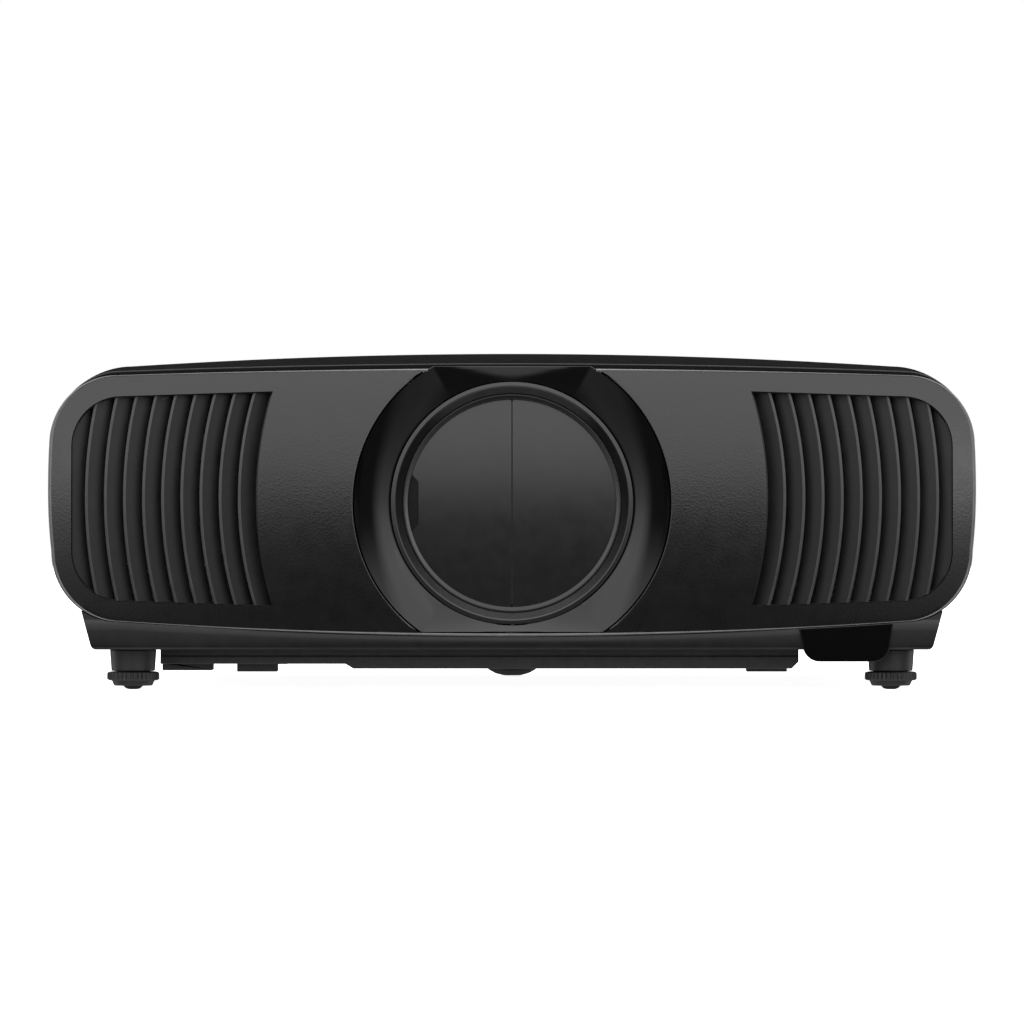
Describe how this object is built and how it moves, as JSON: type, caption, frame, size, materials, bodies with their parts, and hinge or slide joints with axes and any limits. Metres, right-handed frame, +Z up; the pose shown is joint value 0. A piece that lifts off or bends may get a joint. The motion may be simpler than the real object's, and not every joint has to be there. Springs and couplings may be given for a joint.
{
  "type": "home projector",
  "caption": "Home cinema laser projector with a central lens behind a sliding two-leaf shutter, louvred front vents, screw feet, rear sockets and a side control panel.",
  "frame": {"origin": "on the surface the projector stands on, under the middle of its box", "axes": "+Z up, the lens faces -Y, +X to the right as seen from the front"},
  "size_m": [0.52, 0.447, 0.193],
  "materials": {
    "casing_plastic": "moulded charcoal plastic, fine texture",
    "panel_plastic": "moulded charcoal plastic with a fine pebbled grain",
    "grille_plastic": "moulded matte black plastic",
    "surround_gloss": "polished black plastic",
    "trim_satin": "satin black",
    "shutter_satin": "satin dark grey",
    "window_gloss": "infrared-clear gloss black",
    "foot_plastic": "matte black, knurled wheel",
    "foot_rubber": "matte rubber",
    "button_plastic": "satin dark grey",
    "socket_metal": "nickel-plated pressed steel",
    "socket_black": "matte black moulding",
    "inner_steel": "zinc-plated sheet",
    "inner_aluminium": "plain machined and extruded",
    "inner_black": "matte black moulding",
    "lens_glass": "coated optical glass",
    "board": "solder-masked board",
    "filter_foam": "pleated filter medium"
  },
  "bodies": {
    "root": {"top_cover": "casing_plastic", "bottom_case": "casing_plastic", "base_plate": "casing_plastic", "front_panel": "panel_plastic", "grille_left": "grille_plastic", "grille_right": "grille_plastic", "lens_surround": "surround_gloss", "lens_trim_ring": "trim_satin", "receiver_window_front": "window_gloss", "shutter_frame": "inner_black", "foot_leg_left": "foot_plastic", "foot_leg_right": "foot_plastic", "fan_frame_left": "inner_black", "fan_frame_right": "inner_black", "rear_foot": "foot_rubber", "rear_panel": "casing_plastic", "connector_plate": "casing_plastic", "hdmi_socket_1": "socket_metal", "hdmi_socket_2": "socket_metal", "usb_socket": "socket_metal", "lan_socket": "socket_metal", "serial_socket": "socket_metal", "power_inlet": "socket_black", "trigger_jack": "socket_black", "receiver_window_rear": "window_gloss", "control_panel": "casing_plastic", "lens_mount": "inner_aluminium", "optical_engine": "inner_black", "prism_block": "lens_glass", "laser_module": "inner_aluminium", "heatsink": "inner_aluminium", "main_board": "board", "power_supply": "inner_steel"},
    "shutter_left": {"shutter_left": "shutter_satin"},
    "shutter_right": {"shutter_right": "shutter_satin"},
    "shutter_pinion": {"shutter_pinion": "inner_steel"},
    "foot_tip_left": {"foot_tip_left": "foot_rubber"},
    "foot_wheel_left": {"foot_wheel_left": "foot_plastic"},
    "foot_tip_right": {"foot_tip_right": "foot_rubber"},
    "foot_wheel_right": {"foot_wheel_right": "foot_plastic"},
    "lens_shift_horizontal": {"shift_plate_horizontal": "inner_aluminium"},
    "lens_carrier": {"shift_plate_vertical": "inner_aluminium", "lens_barrel": "inner_black", "front_lens": "lens_glass"},
    "focus_ring": {"focus_ring": "inner_black"},
    "zoom_ring": {"zoom_ring": "inner_black"},
    "fan_rotor_left": {"fan_rotor_left": "inner_black"},
    "fan_rotor_right": {"fan_rotor_right": "inner_black"},
    "phosphor_wheel": {"phosphor_wheel": "inner_aluminium"},
    "filter_cover": {"filter_cover": "casing_plastic", "air_filter": "filter_foam"},
    "power_button": {"power_button": "button_plastic"},
    "up_button": {"up_button": "button_plastic"},
    "down_button": {"down_button": "button_plastic"},
    "left_button": {"left_button": "button_plastic"},
    "right_button": {"right_button": "button_plastic"},
    "enter_button": {"enter_button": "button_plastic"},
    "menu_button": {"menu_button": "button_plastic"},
    "escape_button": {"escape_button": "button_plastic"},
    "source_button": {"source_button": "button_plastic"}
  },
  "joints": [
    {"name": "foot_slide_left", "type": "slide", "parent": "root", "child": "foot_tip_left", "axis": [0, 0, -1], "range_m": [0, 0.0201]},
    {"name": "foot_turn_left", "type": "hinge", "parent": "foot_tip_left", "child": "foot_wheel_left", "pos_m": [-0.2137, -0.188, 0.008], "axis": [0, 0, -1], "range_deg": [0, 5760]},
    {"name": "foot_slide_right", "type": "slide", "parent": "root", "child": "foot_tip_right", "axis": [0, 0, -1], "range_m": [0, 0.0201]},
    {"name": "foot_turn_right", "type": "hinge", "parent": "foot_tip_right", "child": "foot_wheel_right", "pos_m": [0.2137, -0.188, 0.008], "axis": [0, 0, -1], "range_deg": [0, 5760]},
    {"name": "shutter_left_slide", "type": "slide", "parent": "root", "child": "shutter_left", "axis": [-1, 0, 0], "range_m": [0, 0.06]},
    {"name": "shutter_right_slide", "type": "slide", "parent": "root", "child": "shutter_right", "axis": [1, 0, 0], "range_m": [0, 0.06]},
    {"name": "shutter_pinion_turn", "type": "hinge", "parent": "root", "child": "shutter_pinion", "pos_m": [0, -0.2, 0.03295], "axis": [0, -1, 0], "range_deg": [0, 840]},
    {"name": "lens_shift_x", "type": "slide", "parent": "root", "child": "lens_shift_horizontal", "axis": [1, 0, 0], "range_m": [-0.0077, 0.0077]},
    {"name": "lens_shift_z", "type": "slide", "parent": "lens_shift_horizontal", "child": "lens_carrier", "axis": [0, 0, 1], "range_m": [-0.0089, 0.0089]},
    {"name": "focus_turn", "type": "hinge", "parent": "lens_carrier", "child": "focus_ring", "pos_m": [0, -0.155, 0.105], "axis": [0, 1, 0], "range_deg": [-60, 60]},
    {"name": "zoom_turn", "type": "hinge", "parent": "lens_carrier", "child": "zoom_ring", "pos_m": [0, -0.125, 0.105], "axis": [0, 1, 0], "range_deg": [-45, 45]},
    {"name": "fan_spin_left", "type": "hinge", "parent": "root", "child": "fan_rotor_left", "pos_m": [-0.195, -0.178, 0.106], "axis": [0, 1, 0], "continuous": true},
    {"name": "fan_spin_right", "type": "hinge", "parent": "root", "child": "fan_rotor_right", "pos_m": [0.195, -0.178, 0.106], "axis": [0, 1, 0], "continuous": true},
    {"name": "phosphor_spin", "type": "hinge", "parent": "root", "child": "phosphor_wheel", "pos_m": [-0.118, 0.128, 0.098], "axis": [0, 1, 0], "continuous": true},
    {"name": "filter_cover_hinge", "type": "hinge", "parent": "root", "child": "filter_cover", "pos_m": [-0.145, 0.2147, 0.0736], "axis": [-1, 0, 0], "range_deg": [0, 80]},
    {"name": "power_press", "type": "slide", "parent": "root", "child": "power_button", "axis": [-1, 0, 0], "range_m": [0, 0.0008], "stiffness_N_per_m": 400},
    {"name": "up_press", "type": "slide", "parent": "root", "child": "up_button", "axis": [-1, 0, 0], "range_m": [0, 0.0008], "stiffness_N_per_m": 400},
    {"name": "down_press", "type": "slide", "parent": "root", "child": "down_button", "axis": [-1, 0, 0], "range_m": [0, 0.0008], "stiffness_N_per_m": 400},
    {"name": "left_press", "type": "slide", "parent": "root", "child": "left_button", "axis": [-1, 0, 0], "range_m": [0, 0.0008], "stiffness_N_per_m": 400},
    {"name": "right_press", "type": "slide", "parent": "root", "child": "right_button", "axis": [-1, 0, 0], "range_m": [0, 0.0008], "stiffness_N_per_m": 400},
    {"name": "enter_press", "type": "slide", "parent": "root", "child": "enter_button", "axis": [-1, 0, 0], "range_m": [0, 0.0008], "stiffness_N_per_m": 400},
    {"name": "menu_press", "type": "slide", "parent": "root", "child": "menu_button", "axis": [-1, 0, 0], "range_m": [0, 0.0008], "stiffness_N_per_m": 400},
    {"name": "escape_press", "type": "slide", "parent": "root", "child": "escape_button", "axis": [-1, 0, 0], "range_m": [0, 0.0008], "stiffness_N_per_m": 400},
    {"name": "source_press", "type": "slide", "parent": "root", "child": "source_button", "axis": [-1, 0, 0], "range_m": [0, 0.0008], "stiffness_N_per_m": 400}
  ],
  "couplings": [
    {"joint": "foot_slide_left", "follows": "foot_turn_left", "m_per_rad": 0.00019894},
    {"joint": "foot_slide_right", "follows": "foot_turn_right", "m_per_rad": 0.00019894},
    {"joint": "shutter_right_slide", "follows": "shutter_left_slide", "ratio": 1},
    {"joint": "shutter_pinion_turn", "follows": "shutter_left_slide", "rad_per_m": 243.9}
  ]
}
